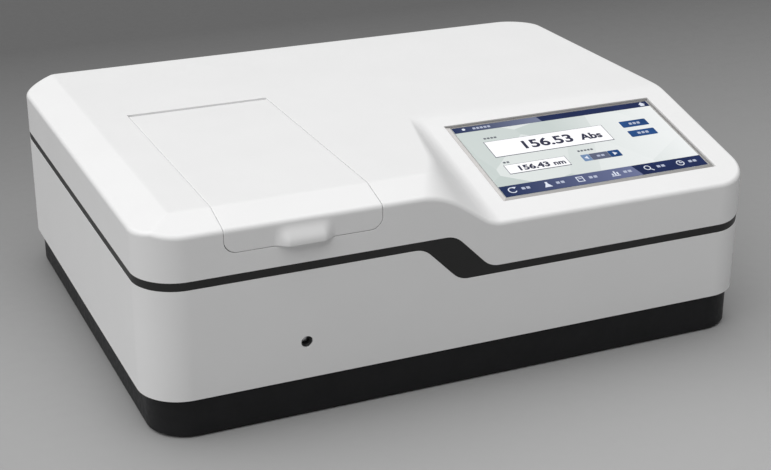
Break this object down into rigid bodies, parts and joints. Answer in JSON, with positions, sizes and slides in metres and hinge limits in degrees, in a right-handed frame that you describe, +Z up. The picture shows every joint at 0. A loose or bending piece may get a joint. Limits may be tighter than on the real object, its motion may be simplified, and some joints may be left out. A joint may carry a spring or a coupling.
{
  "type": "spectrophotometer",
  "caption": "Benchtop UV-visible spectrophotometer with hinged sample lid, sloping touch-screen console, cell changer, optics and power supply inside.",
  "frame": {"origin": "middle of the bottom of the bounding box, on the plane the feet stand on", "axes": "+X to the operator's right along the longest side, -Y towards the operator at the front, +Z up"},
  "size_m": [0.59, 0.464, 0.1925],
  "materials": {
    "shell_white": "fine satin moulded plastic",
    "plinth_black": "lightly textured black plastic",
    "trim_charcoal": "satin",
    "inner_black": "matt",
    "rubber": "matt",
    "frame_silver": "satin",
    "screen": "glossy, lit display picture",
    "glass": "polished",
    "steel": "satin",
    "aluminium": "satin",
    "black_anodised": "matt",
    "mirror_coat": "polished",
    "board_green": "solder mask"
  },
  "bodies": {
    "instrument": {"base_plinth": "plinth_black", "foot_front_left": "rubber", "foot_front_right": "rubber", "foot_rear_left": "rubber", "foot_rear_right": "rubber", "chassis_plate": "aluminium", "lower_shell": "shell_white", "seam_trim": "trim_charcoal", "upper_shell": "shell_white", "rod_bush": "inner_black", "hinge_pin": "steel", "hinge_bracket_left": "steel", "hinge_bracket_right": "steel", "sample_chamber": "inner_black", "lid_seal": "rubber", "guide_rail_left": "steel", "guide_rail_right": "steel", "display_bezel": "frame_silver", "touch_glass": "screen", "lcd_panel": "inner_black", "display_board": "board_green", "lamp_housing": "aluminium", "tungsten_lamp_base": "steel", "tungsten_lamp_bulb": "glass", "deuterium_lamp_base": "steel", "deuterium_lamp_bulb": "glass", "mirror_motor": "black_anodised", "filter_motor": "steel", "monochromator_base": "aluminium", "monochromator_cover": "black_anodised", "entrance_slit": "black_anodised", "exit_slit": "black_anodised", "collimating_mirror": "mirror_coat", "focusing_mirror": "mirror_coat", "grating_motor": "black_anodised", "lens_mount": "black_anodised", "beam_lens": "glass", "detector_housing": "black_anodised", "photodiode": "glass", "preamp_board": "board_green", "main_board": "board_green", "power_supply": "board_green", "supply_bracket": "aluminium", "rear_panel": "aluminium", "power_inlet": "inner_black", "usb_port": "steel", "serial_port": "steel", "switch_housing": "inner_black", "fan_frame": "inner_black", "fan_guard": "steel"},
    "lid": {"sample_lid": "shell_white"},
    "cell_carriage": {"cell_rack": "black_anodised", "pull_rod": "steel"},
    "mirror_arm": {"mirror_mount": "aluminium", "lamp_mirror": "mirror_coat"},
    "wheel": {"filter_wheel": "black_anodised"},
    "grating_turret": {"grating_table": "aluminium", "grating": "mirror_coat"},
    "rocker": {"switch_rocker": "inner_black"},
    "rotor": {"fan_rotor": "inner_black"}
  },
  "joints": [
    {"name": "lid_hinge", "type": "hinge", "parent": "instrument", "child": "lid", "pos_m": [-0.156, 0.057, 0.1863], "axis": [-1, 0, 0], "range_deg": [0, 90]},
    {"name": "cell_slide", "type": "slide", "parent": "instrument", "child": "cell_carriage", "axis": [0, -1, 0], "range_m": [0, 0.072]},
    {"name": "mirror_turn", "type": "hinge", "parent": "instrument", "child": "mirror_arm", "pos_m": [-0.217, 0.12, 0.1], "axis": [0, 0, 1], "range_deg": [-23, 23]},
    {"name": "wheel_turn", "type": "hinge", "parent": "instrument", "child": "wheel", "pos_m": [-0.089, 0.136, 0.1], "axis": [1, 0, 0], "continuous": true},
    {"name": "grating_turn", "type": "hinge", "parent": "instrument", "child": "grating_turret", "pos_m": [-0.033, 0.022, 0.1], "axis": [0, 0, 1], "range_deg": [-8, 32]},
    {"name": "rocker_tilt", "type": "hinge", "parent": "instrument", "child": "rocker", "pos_m": [0.175, 0.2247, 0.07], "axis": [1, 0, 0], "range_deg": [0, 16]},
    {"name": "rotor_spin", "type": "hinge", "parent": "instrument", "child": "rotor", "pos_m": [-0.185, 0.2194, 0.085], "axis": [0, 1, 0], "continuous": true}
  ]
}
